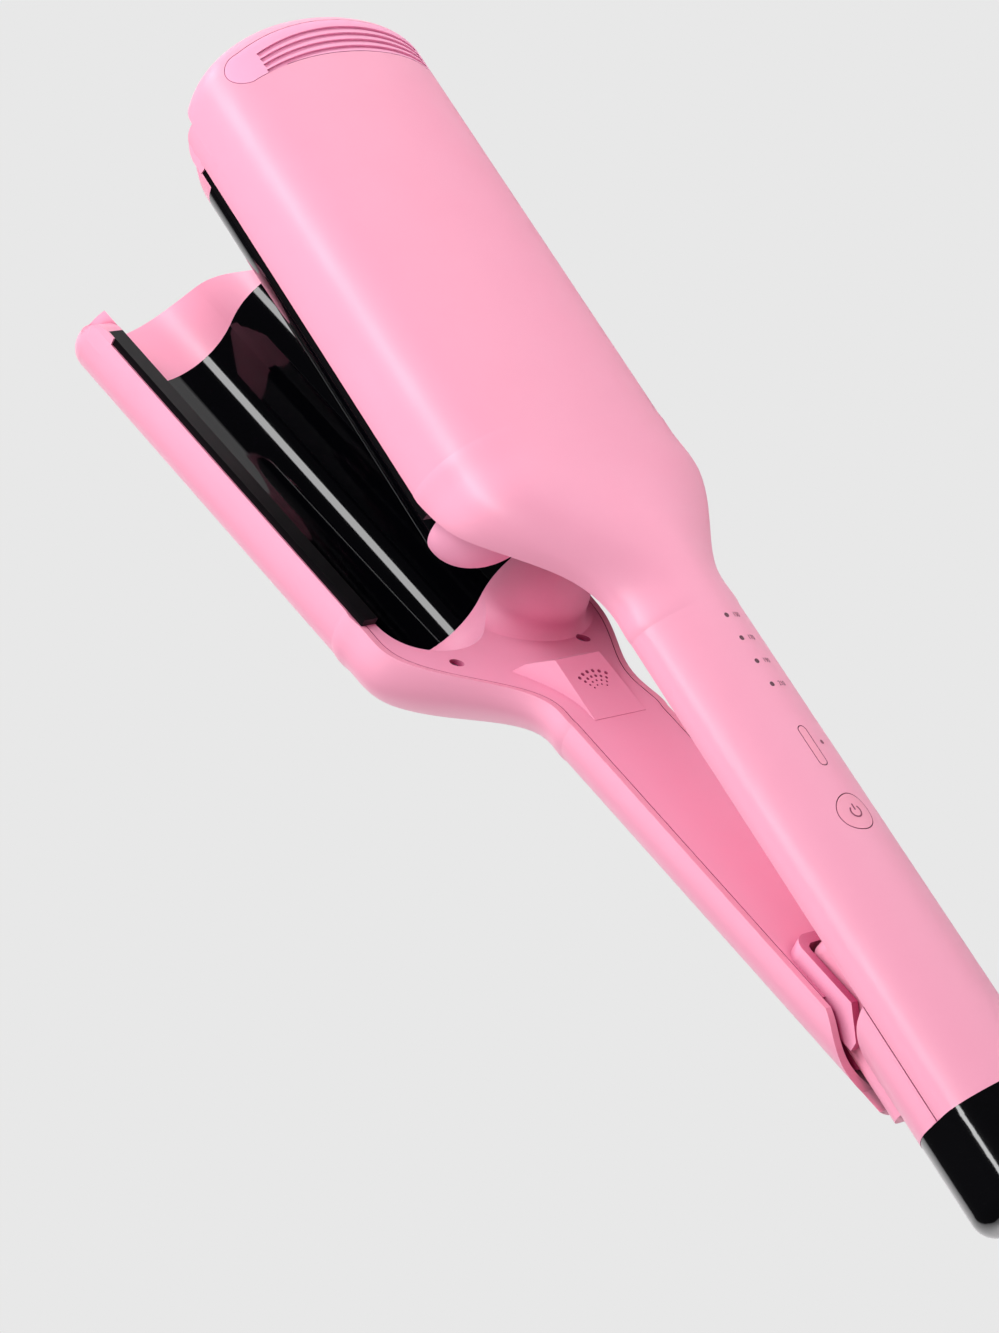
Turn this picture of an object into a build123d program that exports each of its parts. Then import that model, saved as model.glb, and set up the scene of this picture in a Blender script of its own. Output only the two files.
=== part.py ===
# Two-armed hair waver, built closed, then opened to its sprung rest position.
# X runs from the tail to the tips, the hinge axis lies along Z, and the upper arm's outside faces -Y.
# Each arm has its own w (across) and h (height off the hair line) on planes turned by its side.
import os
from dataclasses import dataclass, replace
from math import cos, radians, sin, sqrt

from build123d import *

os.makedirs("parts", exist_ok=True)

# stations along the arms
cap_rear = -3.0
cap_end = 21.6
pin_x = 43.1
cover_start = 72.0
neck_start = 148.0
neck_end = 203.0
widen_from = 155.0
widen_to = 192.0
plate_start = 197.4
plate_length = 102.0
plate_end = plate_start + plate_length
strip_overrun = 2.6

# jaws and the wave between them
jaw_half = 37.0
jaw_full = 0.67
jaw_round = 4.0
jaw_tuck = 0.6
strip_band = 5.3
strip_height = 1.9
strip_edge = 1.1
strip_half = jaw_half - strip_edge
hair_gap = 1.2
wave_radius = (jaw_half - strip_band - hair_gap / 2) / 2
wave_straight = 1.2
channel_foot = 2 * wave_radius + hair_gap / 2
bulge_foot = 2 * wave_radius - hair_gap / 2
bulge_length = 11.0
bowl_gap = 1.6
bulge_flare = 5.0
bulge_wall = 2.3
open_angle = 11.4

# rounded noses and the pad let into the upper one
nose_radius = 38.0
nose_edge = 5.0
rim_corner = 6.5
pad_sheet = 1.7
pad_gap = 0.15
pad_low = 14.0
groove_width = 1.1
groove_depth = 0.7

# walls, fits and screws
shell_wall = 2.0
cover_wall = 2.0
rim_drop = 4.0
fit_gap = 0.1
seam_gap = 0.3
screw_head = 3.2
screw_shank = 2.0
screw_cap = 1.4
screw_bite = 5.0
boss_size = 5.6
cover_screw_x = 180.0
cover_screw_w = wave_radius + 5.2
well_depth = 5.0

# plates, their frames and what lies inside them
plate_sheet = 1.6
plate_back = hair_gap / 2 + plate_sheet
flange_half = jaw_half - shell_wall - jaw_tuck / 2 - seam_gap
rib_sheet = 3.0
beam_low = 9.0
beam_sheet = 3.0
beam_foot = 6.0
beam_inset = 22.0
heater_top = -6.0
heater_margin = 9.0
fuse_size = 3.6
fuse_length = 11.0
fuse_wire = 1.0
fuse_lead = 4.0
sensor_length = 9.0
sensor_width = 4.0
sensor_sheet = 1.2
sensor_bead = 2.6

# handle and tail
handle_taper = 0.0053
handle_round = 3.0
handle_tuck = 0.5
tail_rim = 14.0
tail_half = 16.4
tail_full = 0.39
tail_floor = 3.5
tail_end = 53.0
tail_screw_x = 60.0
tail_screw_w = 12.5
flange_rear = 46.0
flange_sheet = 1.8
upper_top = 28.3

# hinge and its spring
pin_height = 6.6
pin_size = 3.0
nose_half = 10.8
nose_wall = 1.8
nose_rear = 30.0
housing_nose_end = 71.0
housing_nose_low = 6.0
ear_inner = 6.8
ear_wall = 2.0
ear_round = 4.5
bush_size = 5.0
bush_flange = 0.8
bush_flange_sheet = 0.65
bracket_from = 50.0
bracket_to = 70.0
bracket_sheet = 2.0
wire_size = 1.1
coil_radius = 3.4
coil_turns = 7
coil_pitch = 1.3
upper_leg = (50.5, -13.2)
lower_leg = (55.5, 6.3)

# collar and vent on the lower cover
slab_rear = 60.0
collar_half = 13.4
collar_gap = 0.5
collar_front = 2.7
collar_top = 11.3
collar_low = 2.5
collar_rear = 48.0
collar_slope = 6.0
vent_rear = 147.0
vent_crest = 165.8
vent_foot = 170.6
vent_half = 13.0
vent_height = 9.6
vent_wall = 1.6
ion_x = 160.0
ion_size = (14.0, 13.0)

# cap and cord inlet
cap_wall = 2.4
cap_round = 4.5
spigot_from = 17.6
spigot_to = 27.0
spigot_wall = 1.6
swivel_size = 11.0
swivel_bore = 6.6
swivel_height = (upper_top - tail_floor) / 2
swivel_inset = 0.4
swivel_lip = 1.4
swivel_length = 15.0

# buttons, lights and board
mode_x = 107.0
power_x = mode_x - 17.7
light_x = mode_x + 16.8
light_pitch = 6.37
power_size = 9.6
mode_length = 10.9
mode_width = 2.6
light_size = 1.3
button_gap = 0.25
button_flange = 1.2
flange_reach = 1.2
button_travel = 0.6
switch_gap = 0.8
switch_size = 6.0
switch_height = 2.4
plunger_height = 0.6
board_height = 18.0
board_sheet = 1.6
board_half = 11.0
board_start = 80.0
board_end = 150.0
board_screw_x = (84.0, 146.0)
board_screw_w = 7.5
board_post = 4.6


@dataclass
class Arm:
    name: str
    side: int
    reach: float
    jaw_top: float
    jaw_rim: float
    nose_height: float
    nose_plan: float
    handle_half: float
    handle_top: float
    handle_rim: float
    handle_full: float
    rim_from: float
    rim_to: float
    start: float

    @property
    def tip(self):
        return plate_end + self.reach

    @property
    def strip_rim(self):
        return self.jaw_rim - strip_height


upper = Arm("upper", 1, 24.6, 26.6, 1.7, 22.0, 100.0, tail_half, upper_top, tail_rim, tail_full,
            163.0, 203.0, cap_end)
lower = Arm("lower", -1, 18.8, 24.3, 2.9, 18.0, 116.0, 16.2, 8.6, -7.3, 0.47, 150.0, 190.0, 36.0)
tail = Arm("tail", -1, 0, 0, 0, 0, 0, tail_half, tail_floor, seam_gap - tail_rim, tail_full,
           163.0, 203.0, cap_end)
pad_half = jaw_half - 9.0
pad_ends = pad_half + 3.9
pad_rear = ((upper.tip - 16.0, pad_half), (upper.tip - 13.3, 0.0), (upper.tip - 16.0, -pad_half))
pad_front = ((upper.tip - 7.8, pad_half), (upper.tip - 3.4, 0.0), (upper.tip - 7.8, -pad_half))
lower_floor = lower.handle_top - shell_wall
board_top = board_height + board_sheet
button_low = board_top + switch_height + plunger_height + switch_gap
tail_seat = tail_rim + flange_sheet
light_spots = [(light_x + light_pitch * i, 0, 0) for i in range(4)]
tail_spots = [(tail_screw_x, w, tail_seat) for w in (-tail_screw_w, tail_screw_w)]
board_spots = [(x, w, board_height) for x in board_screw_x for w in (-board_screw_w, board_screw_w)]
bracket_spots = [(x, 0, lower_floor - bracket_sheet) for x in (bracket_from + 6, bracket_to - 5)]
nose_inner = nose_half - nose_wall
collar_inner = nose_half + collar_gap
collar_end = housing_nose_end + collar_gap + 0.3
collar_nose = collar_end + collar_front
slab_low = lower.handle_rim + cover_wall
pieces = []


def blend(x, start, end):
    share = min(max((x - start) / (end - start), 0), 1)
    return share * share * (3 - 2 * share)


def between(low, high, share):
    return low + (high - low) * share


def section_plane(x, side):
    return Plane(origin=(x, 0, 0), x_dir=(0, 0, side), z_dir=(1, 0, 0))


def side_plane(w, side):
    return Plane(origin=(0, 0, side * w), x_dir=(1, 0, 0), z_dir=(0, 0, -side))


def plan_plane(h, side):
    return Plane(origin=(0, -side * h, 0), x_dir=(1, 0, 0), z_dir=(0, -side, 0))


def rim_at(arm, x):
    return between(arm.handle_rim, arm.jaw_rim, blend(x, arm.rim_from, arm.rim_to))


def half_at(arm, x):
    handle = arm.handle_half + (widen_from - min(x, widen_from)) * handle_taper
    return between(handle, jaw_half, blend(x, widen_from, widen_to))


def top_at(arm, x):
    return between(arm.handle_top, arm.jaw_top, blend(x, widen_from, widen_to))


def tuck_at(x):
    return between(handle_tuck, jaw_tuck, blend(x, widen_from, widen_to))


def rim_half(arm, x, inset=0):
    share = 0.5 if inset else 1
    return half_at(arm, x) - inset - tuck_at(x) * share


# Closed outline of an arm: flat underside, rounded rims, domed top.
def dome_line(arm, x, inset=0, drop=0):
    widen = blend(x, widen_from, widen_to)
    half = half_at(arm, x) - inset
    top = top_at(arm, x) - inset
    rim = rim_at(arm, x)
    curl = between(handle_round, jaw_round, widen)
    full = between(arm.handle_full, jaw_full, widen)
    base = rim + curl
    shoulder = base + full * (top - base)
    foot = rim_half(arm, x, inset)
    if drop:
        Polyline((-foot, rim), (-foot, rim - drop), (foot, rim - drop), (foot, rim))
    else:
        Line((-foot, rim), (foot, rim))
    Bezier((foot, rim), (half, rim + curl * 0.35), (half, base))
    Bezier((half, base), (half, shoulder), (full * half, top), (0, top))
    Bezier((0, top), (-full * half, top), (-half, shoulder), (-half, base))
    Bezier((-half, base), (-half, rim + curl * 0.35), (-foot, rim))


def arm_section(arm, x, inset=0, drop=0):
    with BuildSketch(section_plane(x, arm.side)) as section:
        with BuildLine():
            dome_line(arm, x, inset, drop)
        make_face()
    return section.sketch


# Loft along an arm: straight handle, smooth neck, straight jaw.
def arm_body(arm, start, end, inset=0, drop=0):
    if end <= neck_start:
        with BuildPart() as handle:
            loft(sections=[arm_section(arm, x, inset, drop) for x in (start, end)], ruled=True)
        return handle.part
    stations = 12
    step = (neck_end - neck_start) / (stations - 1)
    with BuildPart() as body:
        ends = [arm_section(arm, x, inset, drop) for x in (start, neck_start)]
        loft(sections=ends, ruled=True)
        loft(sections=[arm_section(arm, neck_start + step * i, inset, drop) for i in range(stations)])
        extrude(arm_section(arm, neck_end, inset, drop), amount=end - neck_end)
    return body.part


# The S that both jaws share, moved off the hair line by reach.
def wave_line(reach, low):
    outer = 2 * wave_radius + reach
    inner = 2 * wave_radius - reach
    Line((-outer, low), (-outer, wave_straight))
    ThreePointArc((-outer, wave_straight), (-wave_radius, wave_straight + wave_radius + reach),
                  (reach, wave_straight))
    Line((reach, wave_straight), (reach, -wave_straight))
    ThreePointArc((reach, -wave_straight), (wave_radius, -wave_straight - wave_radius + reach),
                  (inner, -wave_straight))
    Line((inner, -wave_straight), (inner, low))


# Body turned about a height axis behind the tip, which rounds the nose in plan and in side view.
def nose_former(arm, inset):
    radius = nose_radius - inset
    centre = arm.tip - nose_radius
    slant = cos(radians(45))
    low = (centre + radius * slant, arm.nose_height - radius * slant)
    high = (centre + radius * slant, arm.nose_height + radius * slant)
    axis_x = arm.tip - arm.nose_plan
    drop = 30
    with BuildPart() as former:
        with BuildSketch(side_plane(0, arm.side)):
            with BuildLine():
                ThreePointArc(low, (centre + radius, arm.nose_height), high)
                Polyline(high, (axis_x, high[1]), (axis_x, low[1] - drop),
                         (low[0] - drop, low[1] - drop), low)
            make_face()
        revolve(axis=Axis((axis_x, 0, 0), (0, 1, 0)))
    return former.part


def nose_block(arm, inset=0):
    half = jaw_half - inset
    top = arm.jaw_top - inset
    base = arm.jaw_rim + jaw_round
    shoulder = base + jaw_full * (top - base)
    depth = 30
    lead = 20
    with BuildPart() as block:
        with BuildSketch(section_plane(plate_end - lead, arm.side)):
            with BuildLine():
                Bezier((half, base), (half, shoulder), (jaw_full * half, top), (0, top))
                Bezier((0, top), (-jaw_full * half, top), (-half, shoulder), (-half, base))
                Polyline((-half, base), (-half, base - depth), (half, base - depth), (half, base))
            make_face()
        extrude(amount=arm.tip - plate_end + lead)
        add(nose_former(arm, inset), mode=Mode.INTERSECT)
        ahead = block.edges().filter_by(lambda edge: edge.bounding_box().min.X > plate_end)
        fillet(ahead.sort_by(SortBy.LENGTH)[-1], nose_edge - inset)
        split(bisect_by=Plane(origin=(plate_end, 0, 0), z_dir=(1, 0, 0)), keep=Keep.TOP)
    return block.part


def nose(arm):
    half = jaw_half
    foot = jaw_half - jaw_tuck
    rim = arm.jaw_rim
    base = rim + jaw_round
    low = arm.strip_rim
    far = 2 * jaw_half
    with BuildPart() as tip:
        add(nose_block(arm))
        with BuildSketch(section_plane(plate_end, arm.side)):
            with BuildLine():
                Line((-far, base), (-half, base))
                Bezier((-half, base), (-half, rim + jaw_round * 0.35), (-foot, rim))
                Polyline((-foot, rim), (-foot, low), (-channel_foot, low))
                wave_line(hair_gap / 2, low)
                Polyline((bulge_foot, low), (foot, low), (foot, rim))
                Bezier((foot, rim), (half, rim + jaw_round * 0.35), (half, base))
                Polyline((half, base), (far, base), (far, -far), (-far, -far), (-far, base))
            make_face()
        extrude(amount=arm.tip - plate_end, mode=Mode.SUBTRACT)
        corner = plate_end + strip_overrun + 0.4
        for w, across in ((bulge_foot, 1), (-channel_foot, -1)):
            with BuildSketch(side_plane(w, arm.side)):
                with BuildLine():
                    bend = rim_corner * cos(radians(45))
                    front = (corner + rim_corner, low + rim_corner)
                    ThreePointArc((corner, low), (corner + bend, low + rim_corner - bend), front)
                    Polyline(front, (arm.tip + 1, front[1]), (arm.tip + 1, low - 1), (corner, low - 1),
                             (corner, low))
                make_face()
            extrude(amount=-across * jaw_half, mode=Mode.SUBTRACT)
    return tip.part


def keep(part, label, arm=upper):
    pieces.append((part, label, arm))


def screw_group(side, spots, length):
    with BuildPart() as group:
        for x, w, seat in spots:
            with BuildSketch(plan_plane(seat - screw_cap, side)):
                with Locations((x, w)):
                    Circle(screw_head / 2)
            extrude(amount=screw_cap)
            with BuildSketch(plan_plane(seat, side)):
                with Locations((x, w)):
                    Circle(screw_shank / 2)
            extrude(amount=length)
            with BuildSketch(plan_plane(seat - screw_cap, side)):
                with Locations((x, w)):
                    Rectangle(screw_head * 0.6, 0.5)
                    Rectangle(0.5, screw_head * 0.6)
            extrude(amount=screw_cap / 2, mode=Mode.SUBTRACT)
    return group.part


def posts(side, spots, size, height):
    with BuildPart() as group:
        for x, w, low in spots:
            with BuildSketch(plan_plane(low, side)):
                with Locations((x, w)):
                    Circle(size / 2)
            extrude(amount=height)
    return group.part


# Posts that reach from a seat height to the inside of the dome.
def dome_bosses(arm, spots, size):
    with BuildPart() as bosses:
        add(posts(arm.side, spots, size, arm.jaw_top * 2))
        add(arm_body(arm, arm.start, plate_end, shell_wall / 2), mode=Mode.INTERSECT)
    return bosses.part


def cover_spots(arm, lift):
    seat = rim_at(arm, cover_screw_x) + lift
    return [(cover_screw_x, w, seat) for w in (-cover_screw_w, cover_screw_w)]


def edge_strips(arm):
    with BuildPart() as strips:
        with BuildSketch(section_plane(plate_start, arm.side)):
            for inner, outer in ((-channel_foot, -strip_half), (bulge_foot + fit_gap, strip_half)):
                with Locations(((inner + outer) / 2, arm.jaw_rim - strip_height / 2)):
                    Rectangle(abs(outer - inner), strip_height)
        extrude(amount=plate_length + strip_overrun)
    return strips.part


def wave_plate(arm):
    far = 3 * jaw_half
    rim = arm.jaw_rim
    low = arm.strip_rim
    with BuildPart() as plate:
        with BuildSketch(section_plane(plate_start, arm.side)):
            with BuildLine():
                wave_line(hair_gap / 2, low)
                wave_line(plate_back, low)
                Line((-channel_foot, low), (-channel_foot - plate_sheet, low))
                Line((bulge_foot, low), (bulge_foot - plate_sheet, low))
            make_face()
            with Locations((bulge_foot - plate_sheet, low)):
                Rectangle(plate_sheet, rim + plate_sheet - low, align=Align.MIN)
            with Locations((bulge_foot, rim)):
                Rectangle(flange_half - bulge_foot, plate_sheet, align=Align.MIN)
            with Locations((-far - channel_foot + plate_sheet / 2, rim - far)):
                Rectangle(far, far, align=Align.MIN, mode=Mode.SUBTRACT)
        extrude(amount=plate_length)
    return plate.part


def plate_carrier(arm):
    far = 3 * jaw_half
    clear = arm.jaw_rim + plate_sheet + fit_gap
    low = arm.strip_rim
    reach = plate_back + fit_gap
    rib_stations = (plate_start + rib_sheet, plate_end - 2 * rib_sheet)
    with BuildPart() as carrier:
        for x in rib_stations:
            with BuildSketch(section_plane(x, arm.side)):
                with BuildLine():
                    dome_line(arm, neck_end, shell_wall + fit_gap)
                make_face()
                with BuildLine():
                    Line((-far, low), (-2 * wave_radius - reach, low))
                    wave_line(reach, low)
                    Polyline((2 * wave_radius - reach, low), (far, low), (far, -far), (-far, -far),
                             (-far, low))
                make_face(mode=Mode.SUBTRACT)
                with Locations((-far, clear - far), (bulge_foot - plate_sheet - fit_gap, clear - far)):
                    Rectangle(far - 2 * wave_radius + 1, far, align=Align.MIN, mode=Mode.SUBTRACT)
            extrude(amount=rib_sheet)
        with BuildSketch(section_plane(rib_stations[0], arm.side)):
            with Locations((wave_radius, beam_low + beam_sheet / 2)):
                Rectangle(wave_radius, beam_sheet)
        extrude(amount=rib_stations[1] - rib_stations[0])
        with BuildSketch(plan_plane(heater_top, arm.side)):
            with Locations(*[(x, wave_radius) for x in (plate_start + beam_inset, plate_end - beam_inset)]):
                Rectangle(beam_foot, beam_foot)
        extrude(amount=beam_low - heater_top)
    return carrier.part


def heater_bar(arm):
    size = wave_radius - plate_back - fit_gap
    with BuildPart() as bar:
        with BuildSketch(section_plane(plate_start + heater_margin, arm.side)):
            with Locations((wave_radius, -wave_straight)):
                Circle(size)
            with Locations((wave_radius, heater_top + size)):
                Rectangle(4 * size, 2 * size, mode=Mode.SUBTRACT)
        extrude(amount=plate_length - 2 * heater_margin)
    return bar.part


def thermistor(arm):
    middle = plate_start + plate_length * 0.4
    with BuildPart() as sensor:
        with BuildSketch(plan_plane(heater_top, arm.side)):
            with Locations((middle, wave_radius)):
                SlotOverall(sensor_length, sensor_width)
        extrude(amount=sensor_sheet)
        with BuildSketch(section_plane(middle - 1.5, arm.side)):
            with Locations((wave_radius, heater_top + 1.8)):
                Circle(sensor_bead / 2)
        extrude(amount=3.0)
    return sensor.part


def thermal_fuse(arm):
    start = plate_start + plate_length * 0.55
    with BuildPart() as fuse:
        for x, length, size in ((start, fuse_length, fuse_size),
                                (start - fuse_lead, fuse_length + 2 * fuse_lead, fuse_wire)):
            with BuildSketch(section_plane(x, arm.side)):
                with Locations((wave_radius, heater_top + fuse_size / 2)):
                    Circle(size / 2)
            extrude(amount=length)
    return fuse.part


# Rounded end of the channel, turned about the channel's own axis, as long as the other arm's bulge needs.
def channel_bowl(arm, grow):
    reach = wave_radius + hair_gap / 2 + grow
    facing = bulge_length if arm is lower else wave_radius - hair_gap / 2
    length = facing + bowl_gap + grow
    axis = Axis((0, -arm.side * wave_straight, -arm.side * wave_radius), (1, 0, 0))
    with BuildPart() as bowl:
        with BuildSketch(side_plane(-wave_radius, arm.side)):
            with Locations((plate_start, wave_straight)):
                Ellipse(length, reach)
                Rectangle(4 * length, 2 * reach, align=(Align.CENTER, Align.MAX), mode=Mode.SUBTRACT)
                Rectangle(2 * length, 2 * reach, align=(Align.MIN, Align.CENTER), mode=Mode.SUBTRACT)
        revolve(axis=axis)
        with BuildSketch(plan_plane(wave_straight, arm.side)):
            with Locations((plate_start, -wave_radius)):
                Ellipse(length, reach)
                Rectangle(2 * length, 2 * reach, align=(Align.MIN, Align.CENTER), mode=Mode.SUBTRACT)
        extrude(amount=-jaw_half)
    return bowl.part


# Wall round the channel's end. It starts inside the slab, a little above the slab's lower face.
def bowl_wall(arm):
    lift = cover_wall / 4
    raised = replace(arm, jaw_rim=arm.jaw_rim + lift, handle_rim=arm.handle_rim + lift)
    with BuildPart() as wall:
        add(channel_bowl(arm, cover_wall))
        add(arm_body(raised, neck_start - 1, plate_start, shell_wall + seam_gap), mode=Mode.INTERSECT)
    return wall.part


# Rounded end of the upper bulge, turned about the bulge's own axis, with its foot in the cover.
def short_bulge(arm, grow, foot):
    reach = wave_radius - hair_gap / 2 + grow
    length = bulge_length + grow
    axis = Axis((0, arm.side * wave_straight, arm.side * wave_radius), (1, 0, 0))
    with BuildPart() as bulge:
        with BuildSketch(side_plane(wave_radius, arm.side)):
            with Locations((plate_start, -wave_straight)):
                Ellipse(length, reach)
                Rectangle(4 * length, 2 * reach, align=(Align.CENTER, Align.MIN), mode=Mode.SUBTRACT)
                Rectangle(2 * length, 2 * reach, align=(Align.MIN, Align.CENTER), mode=Mode.SUBTRACT)
        revolve(axis=axis)
        with BuildSketch(plan_plane(-wave_straight, arm.side)):
            with Locations((plate_start, wave_radius)):
                Ellipse(length, reach)
                Rectangle(2 * length, 2 * reach, align=(Align.MIN, Align.CENTER), mode=Mode.SUBTRACT)
        extrude(amount=foot + wave_straight)
        with BuildSketch(plan_plane(foot, arm.side)):
            with Locations((plate_start, wave_radius)):
                Rectangle(4 * length, 4 * reach)
        extrude(amount=2 * reach, mode=Mode.SUBTRACT)
    return bulge.part


# Rounded end of the lower bulge, turned about a height axis, with a flared foot on the flat neck.
def flared_bulge(arm, grow, foot, flare):
    ball = wave_radius - hair_gap / 2 + grow
    axis = Axis((plate_start, 0, arm.side * wave_radius), (0, 1, 0))
    middle = radians(45)
    low = (plate_start, -wave_straight - ball)
    waist = (plate_start - ball * cos(middle), -wave_straight - ball * sin(middle))
    with BuildPart() as bulge:
        with BuildSketch(side_plane(wave_radius, arm.side)):
            with BuildLine():
                if flare:
                    drop = foot - flare + wave_straight
                    out = sqrt((ball + flare) ** 2 - drop ** 2)
                    meet = (plate_start - out * ball / (ball + flare),
                            -wave_straight + drop * ball / (ball + flare))
                    ThreePointArc(low, waist, meet)
                    TangentArc(meet, (plate_start - out, foot), tangent=(drop, out))
                    Polyline((plate_start - out, foot), (plate_start - out, foot + cover_wall / 2),
                             (plate_start, foot + cover_wall / 2), low)
                else:
                    side = (plate_start - ball, -wave_straight)
                    ThreePointArc(low, waist, side)
                    Polyline(side, (side[0], foot), (plate_start, foot), low)
            make_face()
        revolve(axis=axis)
        with BuildSketch(section_plane(neck_start, arm.side)):
            Rectangle(2 * (rim_half(arm, plate_start, shell_wall) - seam_gap), 4 * jaw_half)
        extrude(amount=plate_start - neck_start, mode=Mode.INTERSECT)
    return bulge.part


def bulge_end(arm, grow, foot):
    if arm is upper:
        return short_bulge(arm, grow, foot)
    return flared_bulge(arm, grow, foot, 0 if grow else bulge_flare)


def cover_section(arm, x):
    half = rim_half(arm, x, shell_wall) - seam_gap
    with BuildSketch(section_plane(x, arm.side)) as section:
        with Locations((0, rim_at(arm, x) + cover_wall / 2)):
            Rectangle(2 * half, cover_wall)
    return section.sketch


def cover_slab(arm, start):
    stations = 12
    step = (neck_end - neck_start) / (stations - 1)
    with BuildPart() as slab:
        loft(sections=[cover_section(arm, x) for x in (start, neck_start)], ruled=True)
        loft(sections=[cover_section(arm, neck_start + step * i) for i in range(stations)])
        split(bisect_by=Plane(origin=(plate_start, 0, 0), z_dir=(1, 0, 0)), keep=Keep.BOTTOM)
    return slab.part


def inner_cover(arm, start):
    foot = rim_at(arm, plate_start if arm is lower else plate_start - bulge_length)
    with BuildPart() as cover:
        add(cover_slab(arm, start))
        add(bulge_end(arm, 0, foot))
        add(bowl_wall(arm))
        add(bulge_end(arm, -bulge_wall, arm.jaw_top), mode=Mode.SUBTRACT)
        add(posts(arm.side, cover_spots(arm, cover_wall / 2), boss_size, well_depth - cover_wall / 2))
        add(channel_bowl(arm, 0), mode=Mode.SUBTRACT)
        low = [(x, w, seat - jaw_half) for x, w, seat in cover_spots(arm, well_depth - cover_wall)]
        add(posts(arm.side, low, screw_head + 3 * fit_gap, jaw_half), mode=Mode.SUBTRACT)
        add(posts(arm.side, low, screw_shank, 2 * jaw_half), mode=Mode.SUBTRACT)
    return cover.part


def pad_prism(grow, low):
    with BuildPart() as prism:
        with BuildSketch(plan_plane(low, 1)):
            with BuildLine():
                ThreePointArc(*pad_rear)
                ThreePointArc(*pad_front)
                for rear, front in ((pad_rear[0], pad_front[0]), (pad_rear[2], pad_front[2])):
                    side = pad_ends if rear[1] > 0 else -pad_ends
                    ThreePointArc(rear, ((rear[0] + front[0]) / 2, side), front)
            make_face()
            if grow:
                offset(amount=grow)
        extrude(amount=upper.jaw_top)
    return prism.part


def tip_pad():
    with BuildPart() as grooves:
        with BuildSketch(plan_plane(pad_low, 1)):
            for share in (0.12, 0.32, 0.52, 0.72):
                line = [(between(rear[0], front[0], share), rear[1])
                        for rear, front in zip(pad_rear, pad_front)]
                near = (line[0][0], line[0][1] - 4)
                with BuildLine():
                    ThreePointArc(near, line[1], line[2])
                trace(line_width=groove_width)
        extrude(amount=upper.jaw_top)
        add(nose_block(upper, groove_depth), mode=Mode.SUBTRACT)
    with BuildPart() as pad:
        add(pad_prism(0, pad_low))
        add(nose_block(upper), mode=Mode.INTERSECT)
        add(nose_block(upper, pad_sheet), mode=Mode.SUBTRACT)
        add(grooves.part, mode=Mode.SUBTRACT)
    return pad.part


def pad_pocket():
    with BuildPart() as pocket:
        add(pad_prism(pad_gap, pad_low - pad_gap))
        add(nose_block(upper, pad_sheet + fit_gap), mode=Mode.SUBTRACT)
    return pocket.part


# The casing that both arms share, with posts for the cover screws.
def arm_shell(arm):
    with BuildPart() as shell:
        add(arm_body(arm, arm.start, plate_end))
        add(nose(arm))
        add(arm_body(arm, arm.start - 1, plate_end, shell_wall, rim_drop), mode=Mode.SUBTRACT)
        add(dome_bosses(arm, cover_spots(arm, well_depth), boss_size))
        add(posts(arm.side, cover_spots(arm, well_depth - 1), screw_shank, 6), mode=Mode.SUBTRACT)
        add(edge_strips(arm), mode=Mode.SUBTRACT)
    return shell.part


def mode_slot(height, length, width, low):
    with BuildPart() as slot:
        with BuildSketch(plan_plane(low, 1)):
            with Locations((mode_x, 0)):
                SlotOverall(length, width)
        extrude(amount=height)
    return slot.part


with BuildPart() as upper_shell:
    add(arm_shell(upper))
    add(pad_pocket(), mode=Mode.SUBTRACT)
    add(posts(1, [(power_x, 0, button_low)], power_size, upper_top), mode=Mode.SUBTRACT)
    add(mode_slot(upper_top, mode_length, mode_width, button_low), mode=Mode.SUBTRACT)
    light_bores = [(x, w, button_low) for x, w, low in light_spots]
    add(posts(1, light_bores, light_size, upper_top), mode=Mode.SUBTRACT)
    add(dome_bosses(upper, tail_spots, 4))
    add(posts(1, tail_spots, screw_shank, 6), mode=Mode.SUBTRACT)
keep(upper_shell.part, "upper_shell")

lower_shell_scoop = ((61.0, 7.4), (56.0, 6.9), (52.2, 4.4), (49.5, 2.0), (45.5, -2.5), (42.0, -5.2))
with BuildPart() as lower_shell:
    add(arm_shell(lower))
    with BuildSketch(side_plane(0, -1)):
        with BuildLine():
            points = [(x, -z) for x, z in lower_shell_scoop]
            Spline(*points)
            Polyline(points[-1], (lower.start - 1, points[-1][1]), (lower.start - 1, -jaw_half),
                     (points[0][0], -jaw_half), points[0])
        make_face()
    extrude(amount=jaw_half, both=True, mode=Mode.SUBTRACT)
    shanks = [(x, w, lower_floor - 0.5) for x, w, low in bracket_spots]
    add(posts(-1, shanks, screw_shank, 1.7), mode=Mode.SUBTRACT)
keep(lower_shell.part, "lower_shell", lower)

upper_tip_pad = tip_pad()
keep(upper_tip_pad, "upper_tip_pad")


# Raised vent on the lower cover: a wedge in side view, narrower at its top.
def vent_boss(inset, low):
    rear = vent_rear + 3 * inset
    slant_end = vent_foot - inset
    with BuildPart() as boss:
        with BuildSketch(side_plane(0, -1)):
            with BuildLine():
                Polyline((rear, -7.3 + inset), (vent_crest - inset / 3, inset - vent_height),
                         (slant_end, 0.3 - vent_height / 2), (slant_end + 2, low),
                         (slant_end - 12, low - 4.6), (rear, low - 6.3), close=True)
            make_face()
        extrude(amount=jaw_half, both=True)
        with BuildSketch(section_plane(neck_start, -1)):
            with BuildLine():
                side = vent_half - inset
                crown = vent_half - 6 - inset
                Polyline((-crown, -10), (-side, 1.5), (-side, 8), (side, 8), (side, 1.5), (crown, -10),
                         close=True)
            make_face()
        extrude(amount=40, mode=Mode.INTERSECT)
    return boss.part


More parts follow.
